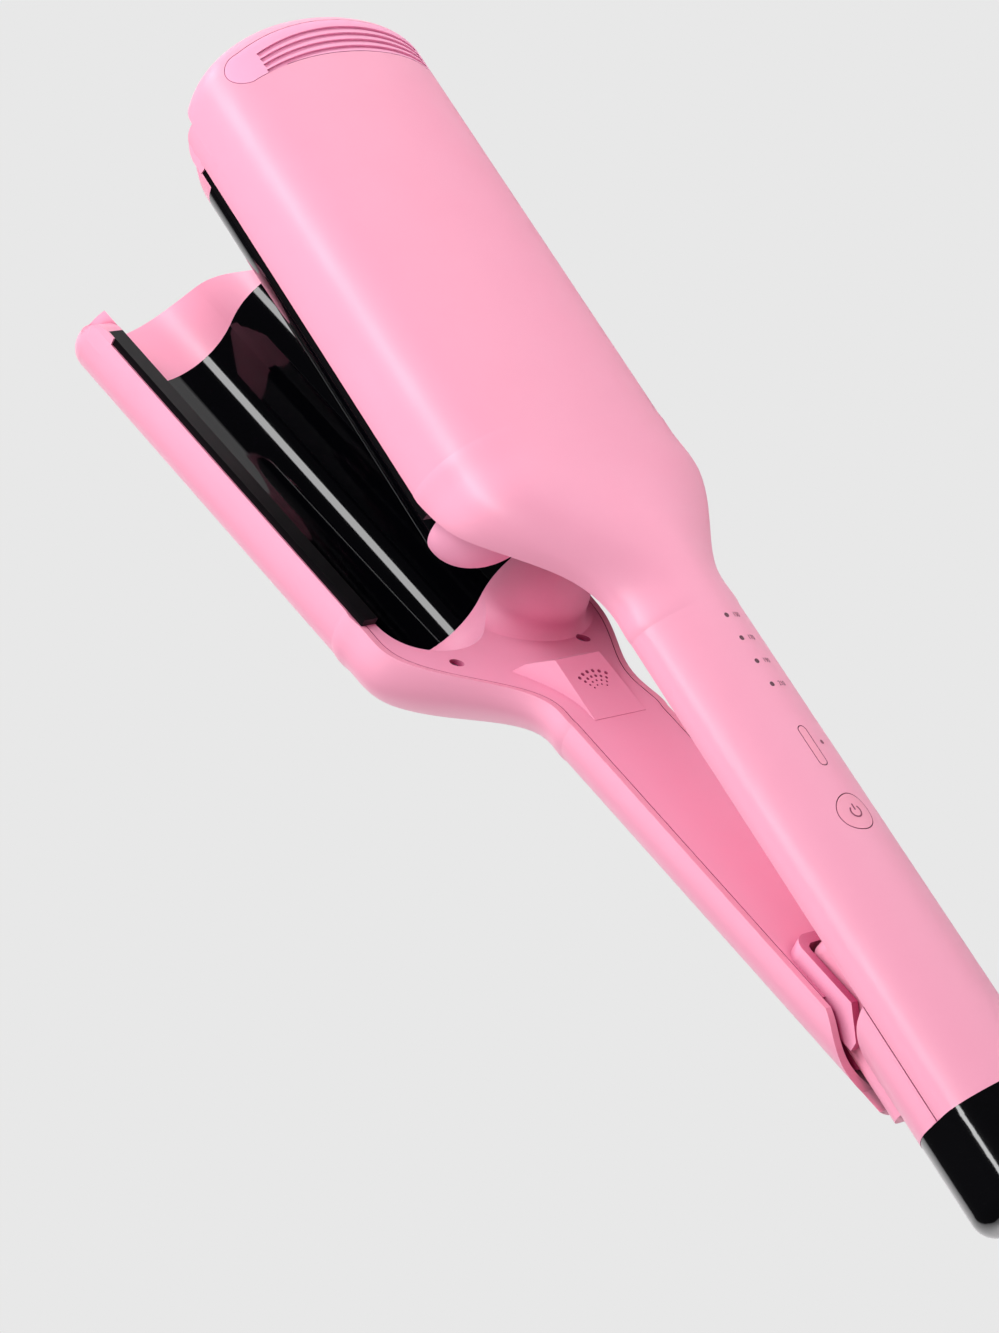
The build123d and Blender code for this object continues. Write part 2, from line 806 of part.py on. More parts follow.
def vent_holes():
    with BuildPart() as holes:
        with BuildSketch(plan_plane(-14, -1)):
            for radius, count, size in ((7.7, 6, 1.0), (6.2, 6, 0.8), (4.9, 5, 0.6), (3.7, 4, 0.5)):
                with Locations((vent_crest - 12.4, 0.4)):
                    with PolarLocations(radius, count, start_angle=-34, angular_range=68, endpoint=True):
                        Circle(size / 2)
        extrude(amount=8)
    return holes.part


with BuildPart() as upper_inner_cover:
    add(inner_cover(upper, cover_start))
    mounts = [(x, w, tail_rim + cover_wall / 2) for x, w, low in board_spots]
    add(posts(1, mounts, board_post, board_height - tail_rim - cover_wall / 2))
    add(posts(1, mounts, screw_shank, upper.jaw_top), mode=Mode.SUBTRACT)
keep(upper_inner_cover.part, "upper_inner_cover")


# Wall that stands round the hinge nose, cut down towards the tail.
def collar():
    with BuildPart() as wall:
        with BuildSketch(side_plane(0, -1)):
            with BuildLine():
                Polyline((collar_rear, -collar_low), (collar_rear, -2 * collar_low),
                         (collar_rear + collar_slope, -collar_top), (collar_nose, -collar_top),
                         (collar_nose, slab_low), (slab_rear, -collar_low), close=True)
            make_face()
        extrude(amount=collar_half, both=True)
        with BuildSketch(plan_plane(-jaw_half, -1)):
            with Locations((collar_nose, 0)):
                RectangleRounded(120, 2 * collar_half, 4.0, align=(Align.MAX, Align.CENTER))
        extrude(amount=2 * jaw_half, mode=Mode.INTERSECT)
    return wall.part


with BuildPart() as lower_inner_cover:
    add(inner_cover(lower, slab_rear))
    add(collar())
    add(vent_boss(0, 0))
    add(vent_boss(vent_wall, 4), mode=Mode.SUBTRACT)
    add(vent_holes(), mode=Mode.SUBTRACT)
    with BuildSketch(plan_plane(-jaw_half, -1)):
        with Locations((collar_end, 0)):
            RectangleRounded(60, 2 * collar_inner, 2.0, align=(Align.MAX, Align.CENTER))
    extrude(amount=2 * jaw_half, mode=Mode.SUBTRACT)
keep(lower_inner_cover.part, "lower_inner_cover", lower)

for arm in (upper, lower):
    keep(wave_plate(arm), f"{arm.name}_plate", arm)
    keep(edge_strips(arm), f"{arm.name}_edge_strips", arm)
    keep(plate_carrier(arm), f"{arm.name}_plate_carrier", arm)
    keep(heater_bar(arm), f"{arm.name}_heater", arm)
    keep(thermistor(arm), f"{arm.name}_thermistor", arm)
    keep(thermal_fuse(arm), f"{arm.name}_thermal_fuse", arm)
    spots = cover_spots(arm, well_depth - cover_wall)
    keep(screw_group(arm.side, spots, cover_wall + screw_bite), f"{arm.name}_cover_screws", arm)


# Box under the upper arm that carries the hinge pin, open below.
def hinge_nose():
    with BuildPart() as box:
        with BuildSketch(side_plane(0, -1)):
            with BuildLine():
                low = tail_floor - seam_gap
                Polyline((nose_rear, -tail_rim), (housing_nose_end, -tail_rim),
                         (housing_nose_end, -housing_nose_low),
                         (housing_nose_end - 3, 1.4 - housing_nose_low),
                         (nose_rear + 17, low), (nose_rear, low), close=True)
            make_face()
        extrude(amount=nose_half, both=True)
        fillet(box.edges().filter_by(Axis.X).group_by(Axis.Y)[-1], 3.6)
        fillet(box.edges().filter_by(Axis.Y).group_by(Axis.X)[-1], 3.0)
    return box.part


with BuildPart() as tail_housing:
    add(arm_body(tail, cap_end, tail_end))
    add(arm_body(tail, cap_end - 1, tail_end + 1, shell_wall, rim_drop), mode=Mode.SUBTRACT)
    with BuildSketch(side_plane(0, -1)):
        with BuildLine():
            edge = ((51.4, -tail_rim), (49.4, -10.4), (45.7, -5.2), (41.0, -0.5), (37.6, 4.0))
            Spline(*edge)
            Polyline(edge[-1], (60, 10), (60, -20), (edge[0][0], -20), edge[0])
        make_face()
    extrude(amount=jaw_half, both=True, mode=Mode.SUBTRACT)
    add(hinge_nose())
    with BuildSketch(plan_plane(tail_rim, 1)):
        with Locations((cover_start - 0.5, 0)):
            flange_width = 2 * (rim_half(upper, tail_screw_x, shell_wall) - fit_gap)
            Rectangle(cover_start - 0.5 - flange_rear, flange_width, align=(Align.MAX, Align.CENTER))
    extrude(amount=flange_sheet)
    with BuildSketch(plan_plane(-jaw_half, 1)):
        with Locations((housing_nose_end - nose_wall, 0)):
            length = housing_nose_end - nose_wall - nose_rear - nose_wall
            Rectangle(length, 2 * nose_inner, align=(Align.MAX, Align.CENTER))
    extrude(amount=jaw_half + tail_rim, mode=Mode.SUBTRACT)
    with BuildSketch(side_plane(nose_half, 1)):
        with Locations((pin_x, pin_height)):
            Circle(pin_size / 2)
    extrude(amount=nose_half + jaw_half, mode=Mode.SUBTRACT)
    add(posts(1, [(x, w, 0) for x, w, low in tail_spots], screw_shank, jaw_half), mode=Mode.SUBTRACT)
keep(tail_housing.part, "tail_housing")
keep(screw_group(1, [(x, w, tail_rim) for x, w, low in tail_spots], 6), "tail_screws")

with BuildPart() as hinge_pin:
    with BuildSketch(side_plane(0, 1)):
        with Locations((pin_x, pin_height)):
            Circle(pin_size / 2)
    extrude(amount=nose_half, both=True)
    chamfer(hinge_pin.edges(), 0.3)
keep(hinge_pin.part, "hinge_pin")


# Closed oval of the tail, above and below the seam.
def tail_oval(x, inset):
    half = half_at(upper, cap_end) - inset
    top = upper_top - inset
    low = -tail_floor + inset
    high_base = tail_rim + handle_round
    low_base = tail_rim - handle_round
    with BuildSketch(section_plane(x, 1)) as oval:
        with BuildLine():
            rise = high_base + tail_full * (top - high_base)
            fall = low_base - tail_full * (low_base - low)
            Bezier((half, high_base), (half, rise), (tail_full * half, top), (0, top))
            Bezier((0, top), (-tail_full * half, top), (-half, rise), (-half, high_base))
            Line((-half, high_base), (-half, low_base))
            Bezier((-half, low_base), (-half, fall), (-tail_full * half, low), (0, low))
            Bezier((0, low), (tail_full * half, low), (half, fall), (half, low_base))
            Line((half, low_base), (half, high_base))
        make_face()
    return oval.sketch


with BuildPart() as end_cap:
    extrude(tail_oval(cap_rear, 0), amount=cap_end - cap_rear)
    fillet(end_cap.faces().sort_by(Axis.X)[0].edges(), cap_round)
    extrude(tail_oval(cap_rear + cap_wall, shell_wall + 1), amount=cap_end, mode=Mode.SUBTRACT)
    extrude(tail_oval(spigot_from, shell_wall), amount=cap_end - spigot_from)
    extrude(tail_oval(cap_end, shell_wall + fit_gap + handle_tuck), amount=spigot_to - cap_end)
    bore = tail_oval(spigot_from, shell_wall + handle_tuck + spigot_wall)
    extrude(bore, amount=cap_end, mode=Mode.SUBTRACT)
    with BuildSketch(section_plane(cap_rear - 1, 1)):
        with Locations((0, swivel_height)):
            Circle(swivel_size / 2 + fit_gap)
    extrude(amount=cap_wall + 2, mode=Mode.SUBTRACT)
keep(end_cap.part, "end_cap")

with BuildPart() as cord_swivel:
    with BuildSketch(section_plane(cap_rear + swivel_inset, 1)):
        with Locations((0, swivel_height)):
            Circle(swivel_size / 2)
    extrude(amount=swivel_length)
    with BuildSketch(section_plane(cap_rear + cap_wall + fit_gap, 1)):
        with Locations((0, swivel_height)):
            Circle(swivel_size / 2 + swivel_lip)
    extrude(amount=swivel_lip)
    with BuildSketch(section_plane(cap_rear - 1, 1)):
        with Locations((0, swivel_height)):
            Circle(swivel_bore / 2)
    extrude(amount=swivel_length + 2, mode=Mode.SUBTRACT)
keep(cord_swivel.part, "cord_swivel")


def outer_skin():
    return arm_body(upper, cover_start, neck_start)


with BuildPart() as power_button:
    add(posts(1, [(power_x, 0, button_low)], power_size - 2 * button_gap, upper_top))
    add(outer_skin(), mode=Mode.INTERSECT)
    add(posts(1, [(power_x, 0, button_low)], power_size + 2 * flange_reach, button_flange))
keep(power_button.part, "power_button")

with BuildPart() as mode_button:
    add(mode_slot(upper_top, mode_length - 2 * button_gap, mode_width - 2 * button_gap, button_low))
    add(outer_skin(), mode=Mode.INTERSECT)
    add(mode_slot(button_flange, mode_length + 2 * flange_reach, mode_width + 2 * flange_reach, button_low))
keep(mode_button.part, "mode_button")

with BuildPart() as indicator_lenses:
    add(posts(1, [(x, w, board_top + 1) for x, w, low in light_spots], light_size - fit_gap, upper_top))
    add(outer_skin(), mode=Mode.INTERSECT)
keep(indicator_lenses.part, "indicator_lenses")

with BuildPart() as control_board:
    with BuildSketch(plan_plane(board_height, 1)):
        with Locations((board_start, 0)):
            Rectangle(board_end - board_start, 2 * board_half, align=(Align.MIN, Align.CENTER))
    extrude(amount=board_sheet)
    add(posts(1, board_spots, screw_shank + 2 * fit_gap, board_sheet), mode=Mode.SUBTRACT)
keep(control_board.part, "control_board")
keep(screw_group(-1, [(x, w, -board_top) for x, w, low in board_spots], 4), "board_screws")

with BuildPart() as button_switches:
    for x in (power_x, mode_x):
        with BuildSketch(plan_plane(board_top, 1)):
            with Locations((x, 0)):
                Rectangle(switch_size, switch_size)
        extrude(amount=switch_height)
        with BuildSketch(plan_plane(board_top + switch_height, 1)):
            with Locations((x, 0)):
                Circle(switch_size / 4)
        extrude(amount=plunger_height)
keep(button_switches.part, "button_switches")

with BuildPart() as indicator_leds:
    with BuildSketch(plan_plane(board_top, 1)):
        with Locations(*[(x, w) for x, w, low in light_spots]):
            Rectangle(2.0, 1.6)
    extrude(amount=0.8)
keep(indicator_leds.part, "indicator_leds")

with BuildPart() as lower_hinge_bracket:
    with BuildSketch(side_plane(0, -1)):
        with Locations((pin_x, -pin_height)):
            Circle(ear_round)
        with Locations((bracket_from, lower_floor)):
            Rectangle(bracket_to - bracket_from - 4, bracket_sheet, align=(Align.MIN, Align.MAX))
        make_hull()
        with Locations((pin_x, -pin_height)):
            Circle(bush_size / 2, mode=Mode.SUBTRACT)
    extrude(amount=ear_inner + ear_wall, both=True)
    with BuildSketch(side_plane(0, -1)):
        with Locations((bracket_from - 20, lower_floor - bracket_sheet)):
            Rectangle(50, 40, align=(Align.MIN, Align.MAX))
    extrude(amount=ear_inner, both=True, mode=Mode.SUBTRACT)
    with BuildSketch(plan_plane(lower_floor - bracket_sheet, -1)):
        with Locations((bracket_from, 0)):
            Rectangle(bracket_to - bracket_from, 2 * (ear_inner + ear_wall), align=(Align.MIN, Align.CENTER))
    extrude(amount=bracket_sheet)
    add(arm_body(lower, 38, 80, shell_wall + fit_gap / 2, jaw_half), mode=Mode.INTERSECT)
    add(posts(-1, bracket_spots, screw_shank + fit_gap, 4), mode=Mode.SUBTRACT)
keep(lower_hinge_bracket.part, "lower_hinge_bracket", lower)
keep(screw_group(-1, bracket_spots, 3.2), "bracket_screws", lower)

with BuildPart() as hinge_bushes:
    for side in (-1, 1):
        for start, length, size in ((ear_inner, ear_wall, bush_size),
                                    (ear_inner - 0.7, bush_flange_sheet, bush_size + 2 * bush_flange)):
            with BuildSketch(Plane(origin=(pin_x, -pin_height, side * start), z_dir=(0, 0, side))):
                Circle(size / 2)
                Circle(pin_size / 2 + fit_gap / 2, mode=Mode.SUBTRACT)
            extrude(amount=length)
keep(hinge_bushes.part, "hinge_bushes", lower)

with BuildPart() as ion_generator:
    with BuildSketch(plan_plane(0.5, -1)):
        with Locations((ion_x, 0)):
            RectangleRounded(*ion_size, 1)
    extrude(amount=20)
    inside = arm_body(lower, neck_start - 1, neck_end + 1, shell_wall + fit_gap / 2, jaw_half)
    add(inside, mode=Mode.INTERSECT)
    with BuildSketch(plan_plane(-3.5, -1)):
        with Locations((ion_x + 4, 0)):
            Circle(0.6)
    extrude(amount=4.5)
keep(ion_generator.part, "ion_generator", lower)

coil_start = -coil_turns * coil_pitch / 2
with BuildPart() as opening_spring:
    with BuildLine() as coil:
        Helix(coil_pitch, coil_turns * coil_pitch, coil_radius, center=(pin_x, -pin_height, coil_start))
    with BuildSketch(Plane(origin=coil.line @ 0, z_dir=coil.line % 0)):
        RegularPolygon(wire_size / 2, 8)
    sweep(path=coil.line)
    for leg, height in ((upper_leg, coil_start), (lower_leg, -coil_start)):
        start = (pin_x + coil_radius, -pin_height, height)
        reach = Vector(*leg, height) - Vector(*start)
        with BuildSketch(Plane(origin=start, z_dir=reach)):
            RegularPolygon(wire_size / 2, 8)
        extrude(amount=reach.length)
keep(opening_spring.part, "opening_spring")

hinge = Axis((pin_x, -pin_height, 0), (0, 0, 1))
placed = [(part.rotate(hinge, open_angle) if arm is lower else part, label) for part, label, arm in pieces]
boxes = [part.bounding_box() for part, label in placed]
centre_x = (min(box.min.X for box in boxes) + max(box.max.X for box in boxes)) / 2
centre_y = (min(box.min.Y for box in boxes) + max(box.max.Y for box in boxes)) / 2
settle = Location((-centre_x, -centre_y, -min(box.min.Z for box in boxes)))
for part, label in placed:
    piece = part.moved(settle)
    piece.label = label
    export_step(piece, f"parts/{label}.step")
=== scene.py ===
import bpy
import numpy as np
from mathutils import Matrix, Vector


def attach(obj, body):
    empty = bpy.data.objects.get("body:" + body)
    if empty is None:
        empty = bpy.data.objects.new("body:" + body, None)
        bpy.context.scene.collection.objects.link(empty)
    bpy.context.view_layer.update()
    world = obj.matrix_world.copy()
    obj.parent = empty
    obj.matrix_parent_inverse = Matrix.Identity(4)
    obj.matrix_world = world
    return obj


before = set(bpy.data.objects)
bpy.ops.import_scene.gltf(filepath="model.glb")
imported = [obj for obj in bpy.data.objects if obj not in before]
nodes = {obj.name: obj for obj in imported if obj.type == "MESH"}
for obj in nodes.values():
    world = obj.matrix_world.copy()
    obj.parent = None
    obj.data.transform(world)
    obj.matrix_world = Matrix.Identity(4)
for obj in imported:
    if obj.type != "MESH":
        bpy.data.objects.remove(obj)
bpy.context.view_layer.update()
print("frame loaded:", len(nodes), "parts")


# camera, in metres: where it stands and which way its own right and down point
camera = {
    "place": (-0.35, -0.64803, 0.77305),
    "right": (-0.50228, -0.50410, -0.70256),
    "down": (-0.79166, 0.59491, 0.13911),
    "sensor": 36,  # mm, spanned by the tall side of the picture
    "reach": 3.4231,  # focal length as a multiple of the sensor
    "nearest": 0.05,
}


def placeCamera(look):
    data = bpy.data.cameras.new("studioCamera")
    data.sensor_fit = "VERTICAL"
    data.sensor_height = look["sensor"]
    data.lens = look["reach"] * look["sensor"]
    data.clip_start = look["nearest"]
    right = Vector(look["right"]).normalized()
    up = -Vector(look["down"]).normalized()
    back = right.cross(up)
    turn = Matrix((right, up, back)).transposed().to_4x4()
    obj = bpy.data.objects.new("studioCamera", data)
    obj.matrix_world = Matrix.Translation(look["place"]) @ turn
    bpy.context.scene.collection.objects.link(obj)
    bpy.context.scene.camera = obj


placeCamera(camera)
print("camera placed")


# colours are written as sRGB hex; the shaders take them as linear values
def toLinear(hexColour):
    parts = np.array([int(hexColour[i:i + 2], 16) for i in (0, 2, 4)]) / 255
    linear = np.where(parts <= 0.04045, parts / 12.92, ((parts + 0.055) / 1.055) ** 2.4)
    return (*linear.tolist(), 1.0)


# adds one node: settings are node properties or input values, links run from a source socket to an input
def addNode(tree, kind, settings=(), links=()):
    node = tree.nodes.new(kind)
    for key, value in dict(settings).items():
        if isinstance(key, int) or key in node.inputs:
            node.inputs[key].default_value = value
        else:
            setattr(node, key, value)
    for key, source in dict(links).items():
        tree.links.new(source, node.inputs[key])
    return node


def startMaterial(name):
    material = bpy.data.materials.new(name)
    material.use_nodes = True
    material.node_tree.nodes.clear()
    return material, material.node_tree


# A moulded, pressed or drawn surface, sized in mm. Grain is fine relief, mottle is a slow drift of tone
# and gloss, and painted shade turns the colour to a deeper tone within the given reach of seams, slots and
# hollows.
def makeFinish(name, look):
    material, tree = startMaterial(name)
    place = addNode(tree, "ShaderNodeTexCoord").outputs["Object"]
    if "stretch" in look:  # brushed or drawn metal has its grain pulled out along X
        place = addNode(tree, "ShaderNodeMapping", {"Scale": look["stretch"]}, {"Vector": place}).outputs[0]
    grain = addNode(tree, "ShaderNodeTexNoise",
                    {"Scale": 1000 / look["grainSize"], "Detail": 3.0, "Roughness": 0.6},
                    {"Vector": place})
    mottle = addNode(tree, "ShaderNodeTexNoise",
                     {"Scale": 1000 / look["mottleSize"], "Detail": 2.0, "Roughness": 0.5},
                     {"Vector": place})
    relief = addNode(tree, "ShaderNodeBump",
                     {"Strength": look.get("grainShow", 0.3), "Distance": look["grainDepth"] / 1000},
                     {"Height": grain.outputs["Fac"]})
    tone = addNode(tree, "ShaderNodeMix",
                   {"data_type": "RGBA", 6: toLinear(look["colour"]), 7: toLinear(look["drift"])},
                   {0: mottle.outputs["Fac"]})
    # painted shade: the colour darkens towards a deep tone where ambient occlusion finds seams, slots and
    # hollows
    if "paintedShade" in look:
        reach, paintedShadeTone = look["paintedShade"]
        openness = addNode(tree, "ShaderNodeAmbientOcclusion", {"samples": 6, "Distance": reach / 1000})
        clear = addNode(tree, "ShaderNodeMapRange", {"From Min": 0.15, "From Max": 0.85},
                        {"Value": openness.outputs["AO"]})
        tone = addNode(tree, "ShaderNodeMix", {"data_type": "RGBA", 6: toLinear(paintedShadeTone)},
                       {0: clear.outputs[0], 7: tone.outputs[2]})
    low, high = look["roughness"]
    gloss = addNode(tree, "ShaderNodeMapRange",
                    {"From Min": 0.3, "From Max": 0.7, "To Min": low, "To Max": high},
                    {"Value": mottle.outputs["Fac"]})
    shader = addNode(tree, "ShaderNodeBsdfPrincipled", look.get("shader", {}),
                     {"Base Color": tone.outputs[2], "Roughness": gloss.outputs[0],
                      "Normal": relief.outputs[0]})
    addNode(tree, "ShaderNodeOutputMaterial", {}, {"Surface": shader.outputs[0]})
    return material


# Soft-touch lacquer on moulded ABS: a velvety pink with a wide, low highlight and no sharp reflection, and
# painted shade darkening it in seams and gaps.
softTouchCase = makeFinish("softTouchLacquerAbs", {
    "colour": "FCA9C4", "drift": "FBA5C0", "roughness": (0.36, 0.41), "paintedShade": (1.6, "B04670"),
    "grainSize": 0.35, "grainDepth": 0.01, "mottleSize": 14,
    "shader": {"IOR": 1.46, "Specular IOR Level": 0.75, "Sheen Weight": 0.06, "Sheen Roughness": 0.4,
               "Sheen Tint": toLinear("FFE3EE")},
})

# Bare moulded ABS of the inside faces: the same pink, drier, with painted shade turning it deep magenta in
# its hollows and under the other arm.
mouldedCover = makeFinish("mouldedAbsCover", {
    "colour": "FFAECB", "drift": "FDAAC8", "roughness": (0.44, 0.52), "paintedShade": (12, "B82C6A"),
    "grainSize": 0.4, "grainDepth": 0.015, "mottleSize": 18,
    "shader": {"IOR": 1.5, "Specular IOR Level": 0.4},
})

# Silicone of the cool-touch pad: a cooler pink with a dry, rubbery bloom, and painted shade darkening its
# grooves.
siliconePad = makeFinish("mouldedSiliconePad", {
    "colour": "FFB2D2", "drift": "FDAECE", "roughness": (0.46, 0.54), "paintedShade": (1.0, "B04A80"),
    "grainSize": 0.3, "grainDepth": 0.01, "mottleSize": 8,
    "shader": {"IOR": 1.43, "Specular IOR Level": 0.4},
})

# Lacquered button caps: as the case, but smoother from being pressed, with painted shade in the gaps around
# them.
lacqueredButton = makeFinish("lacqueredAbsButton", {
    "colour": "FBA8C0", "drift": "FAA4BC", "roughness": (0.34, 0.42), "paintedShade": (1.2, "A83E68"),
    "grainSize": 0.4, "grainDepth": 0.008, "mottleSize": 6,
    "shader": {"IOR": 1.48},
})

# Ceramic glaze sprayed on aluminium sheet: near black, mirror smooth but for a faint orange peel.
ceramicPlate = makeFinish("sprayedCeramicPlate", {
    "colour": "020204", "drift": "040407", "roughness": (0.05, 0.07),
    "grainSize": 1.2, "grainDepth": 0.001, "mottleSize": 30, "grainShow": 0.1,
    "shader": {"IOR": 1.5},
})

# Glass-filled heat seal: satin black with a fine, even tooth.
heatSeal = makeFinish("mouldedHeatSeal", {
    "colour": "0B0A0C", "drift": "100E11", "roughness": (0.30, 0.36),
    "grainSize": 0.4, "grainDepth": 0.01, "mottleSize": 9,
    "shader": {"IOR": 1.5, "Specular IOR Level": 0.16},
})

# Polished black ABS of the cap: deep and wet looking.
polishedCap = makeFinish("polishedAbsCap", {
    "colour": "050507", "drift": "08080A", "roughness": (0.08, 0.12),
    "grainSize": 1.5, "grainDepth": 0.002, "mottleSize": 20, "grainShow": 0.2,
    "shader": {"IOR": 1.52, "Coat Weight": 0.4, "Coat Roughness": 0.06},
})

# Nylon of the turning cord inlet: black, dull, slightly waxy.
nylonInlet = makeFinish("mouldedNylonInlet", {
    "colour": "1A1A1C", "drift": "202022", "roughness": (0.42, 0.52),
    "grainSize": 0.4, "grainDepth": 0.012, "mottleSize": 6,
    "shader": {"IOR": 1.53},
})

# Heat-proof resin of the inner frames: warm grey, dull.
resinFrame = makeFinish("mouldedResinFrame", {
    "colour": "6A625A", "drift": "756C62", "roughness": (0.5, 0.6),
    "grainSize": 0.5, "grainDepth": 0.02, "mottleSize": 8,
    "shader": {"IOR": 1.55},
})

# Drawn aluminium of the heater bars: pale grey with long streaks.
drawnAluminium = makeFinish("drawnAluminiumHeater", {
    "colour": "C9CBCD", "drift": "B8BABD", "roughness": (0.26, 0.38),
    "grainSize": 0.4, "grainDepth": 0.01, "mottleSize": 6, "stretch": (0.06, 1, 1),
    "shader": {"Metallic": 1.0},
})

# Glass bead and sleeve of the sensors: amber brown, glossy.
glassSensor = makeFinish("sleevedGlassSensor", {
    "colour": "9A5A2C", "drift": "874B22", "roughness": (0.15, 0.25),
    "grainSize": 0.5, "grainDepth": 0.004, "mottleSize": 3,
    "shader": {"IOR": 1.5, "Coat Weight": 0.3, "Coat Roughness": 0.1},
})

# Tinned can of the thermal fuses: soft white metal.
tinnedFuse = makeFinish("tinnedFuseCan", {
    "colour": "D5D3CC", "drift": "C2C0B8", "roughness": (0.3, 0.42),
    "grainSize": 0.4, "grainDepth": 0.008, "mottleSize": 4,
    "shader": {"Metallic": 1.0},
})

# Zinc plated screw steel: bluish grey with small cloudy patches.
zincScrew = makeFinish("zincPlatedScrew", {
    "colour": "A9AEB4", "drift": "8F959C", "roughness": (0.28, 0.42),
    "grainSize": 0.3, "grainDepth": 0.01, "mottleSize": 2,
    "shader": {"Metallic": 1.0},
})

# Hard drawn spring and pin steel: dark grey, lightly oiled.
springSteel = makeFinish("drawnSpringSteel", {
    "colour": "8A8D92", "drift": "74777C", "roughness": (0.22, 0.34),
    "grainSize": 0.3, "grainDepth": 0.006, "mottleSize": 3,
    "shader": {"Metallic": 1.0},
})

# Sintered bronze of the bushes: dull gold with pores.
sinteredBronze = makeFinish("sinteredBronzeBush", {
    "colour": "B08A4E", "drift": "97723A", "roughness": (0.4, 0.55),
    "grainSize": 0.25, "grainDepth": 0.02, "mottleSize": 1.5,
    "shader": {"Metallic": 1.0},
})

# Green solder mask over glass cloth: glossy, with the cloth just showing through.
solderMask = makeFinish("solderMaskBoard", {
    "colour": "1C6B3C", "drift": "175C33", "roughness": (0.22, 0.32),
    "grainSize": 0.8, "grainDepth": 0.01, "mottleSize": 5,
    "shader": {"IOR": 1.52},
})

# Black phenolic of the switch bodies and the potted ion block.
phenolicBlack = makeFinish("mouldedPhenolicBlack", {
    "colour": "1B1B1D", "drift": "222224", "roughness": (0.36, 0.46),
    "grainSize": 0.4, "grainDepth": 0.01, "mottleSize": 4,
    "shader": {"IOR": 1.55},
})

# Smoked acrylic of the lamp lenses: wine dark when the lamps are off.
smokedLens = makeFinish("smokedAcrylicLens", {
    "colour": "5A1B36", "drift": "4C152C", "roughness": (0.10, 0.16),
    "grainSize": 0.5, "grainDepth": 0.002, "mottleSize": 2,
    "shader": {"IOR": 1.49, "Coat Weight": 0.5, "Coat Roughness": 0.05},
})

# White epoxy of the lamp bodies.
epoxyLed = makeFinish("castEpoxyLed", {
    "colour": "E8E6DC", "drift": "DEDBCF", "roughness": (0.2, 0.3),
    "grainSize": 0.4, "grainDepth": 0.004, "mottleSize": 2,
    "shader": {"IOR": 1.52},
})

finishes = {
    softTouchCase: ["upper_shell", "lower_shell", "tail_housing"],
    mouldedCover: ["upper_inner_cover", "lower_inner_cover", "lower_hinge_bracket"],
    siliconePad: ["upper_tip_pad"],
    lacqueredButton: ["power_button", "mode_button"],
    ceramicPlate: ["upper_plate", "lower_plate"],
    heatSeal: ["upper_edge_strips", "lower_edge_strips"],
    polishedCap: ["end_cap"],
    nylonInlet: ["cord_swivel"],
    resinFrame: ["upper_plate_carrier", "lower_plate_carrier"],
    drawnAluminium: ["upper_heater", "lower_heater"],
    glassSensor: ["upper_thermistor", "lower_thermistor"],
    tinnedFuse: ["upper_thermal_fuse", "lower_thermal_fuse"],
    zincScrew: ["upper_cover_screws", "lower_cover_screws", "tail_screws", "board_screws", "bracket_screws"],
    springSteel: ["hinge_pin", "opening_spring"],
    sinteredBronze: ["hinge_bushes"],
    solderMask: ["control_board"],
    phenolicBlack: ["button_switches", "ion_generator"],
    smokedLens: ["indicator_lenses"],
    epoxyLed: ["indicator_leds"],
}
for finish, names in finishes.items():
    for name in names:
        nodes[name].data.materials.clear()
        nodes[name].data.materials.append(finish)
bare = sorted(set(nodes) - {name for names in finishes.values() for name in names})
print("finishes set, parts without one:", bare)


# Pad-printed ink: dark wine, thin and a little shinier than the lacquer.
printedInk = makeFinish("padPrintedInk", {
    "colour": "8A2B52", "drift": "80264B", "roughness": (0.3, 0.4),
    "grainSize": 0.4, "grainDepth": 0.003, "mottleSize": 2,
    "shader": {"IOR": 1.5},
})

# crown of the handle that the marks lie on, in mm: along from the tail, across upwards from the middle
crown = {
    "shift": (-160.499, -24.433, 37.246),  # from the handle's own axes to this frame
    "half": 16.4,  # half width where the neck starts
    "neck": 155,
    "taper": 0.0053,  # the handle widens by this much a side, per mm, towards the tail
    "base": 17,
    "top": 28.3,
    "fullness": 0.39,
    "ink": 0.05,  # thickness of the print
    "steps": 256,
}


# Lays flat outlines on the crown: half of a cubic Bezier arch that leaves (half, base) straight up by
# fullness times its height, and arrives level at (0, top) from fullness times its half width.
def layOnCrown(along, across, look):
    t = np.linspace(0, 1, look["steps"] + 1)
    leave, rise, level, arrive = (1 - t) ** 3, 3 * t * (1 - t) ** 2, 3 * t ** 2 * (1 - t), t ** 3
    shoulder = look["base"] + look["fullness"] * (look["top"] - look["base"])
    width = leave + rise + look["fullness"] * level
    height = leave * look["base"] + rise * shoulder + (level + arrive) * look["top"]
    half = look["half"] + (look["neck"] - along) * look["taper"]
    above = np.interp(np.abs(across) / half, width[::-1], height[::-1]) + look["ink"]
    return (np.stack([along, -above, across], axis=1) + look["shift"]) / 1000


# A mark is a flat sheet of points and faces, laid on the crown and carried by one body.
def printMark(name, along, across, faces, body):
    mesh = bpy.data.meshes.new(name)
    mesh.from_pydata(layOnCrown(along, across, crown).tolist(), [], faces)
    mesh.materials.append(printedInk)
    obj = bpy.data.objects.new(name, mesh)
    bpy.context.scene.collection.objects.link(obj)
    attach(obj, body)


# A ribbon is two rows of points side by side, joined by quads. They face outwards where the second row
# stands to the left of the first, seen from outside.
def printRibbon(name, along, across, body):
    i = np.arange(len(along[0]) - 1)
    other = i + len(along[0])
    faces = np.stack([i, i + 1, other + 1, other], axis=1).tolist()
    printMark(name, np.concatenate(along), np.concatenate(across), faces, body)


# plain numbers beside the four lamps
lampNumbers = {
    "texts": ("150", "170", "190", "210"),
    "first": 142.91,
    "pitch": 6.37,
    "size": 1.8,
    "middle": 0.35,  # half the height of a digit, as a share of the size
    "edge": -2.2,
}


